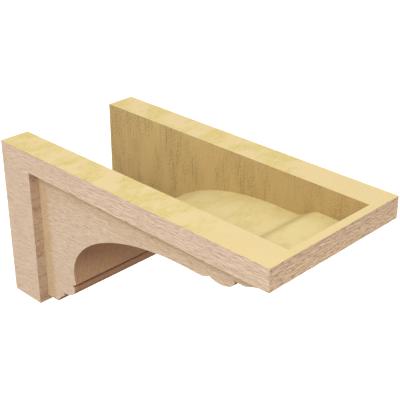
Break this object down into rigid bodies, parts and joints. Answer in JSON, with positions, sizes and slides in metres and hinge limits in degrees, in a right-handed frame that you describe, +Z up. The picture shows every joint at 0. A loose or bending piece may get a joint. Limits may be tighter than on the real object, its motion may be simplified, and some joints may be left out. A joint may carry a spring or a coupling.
{
  "type": "corbel",
  "caption": "Hollow moulded corbel: a back post and a top rail joined by a recessed bracket with an arched, moulded underside, open at the top and the back.",
  "frame": {"origin": "on the back face that stands against the wall, at mid-width, in the middle of the bottom wall's back edge", "axes": "+X is to the right of someone facing the wall, +Y points into the wall, so the corbel stands out towards -Y, and +Z is up"},
  "size_m": [0.2032, 0.4128, 0.2032],
  "materials": {
    "painted_foam": "matt paint in a pale tan over moulded rough-sawn woodgrain, bare yellow foam on the top rim, the back and inside the hollow"
  },
  "bodies": {
    "root": {"corbel_shell": "painted_foam"}
  },
  "joints": []
}
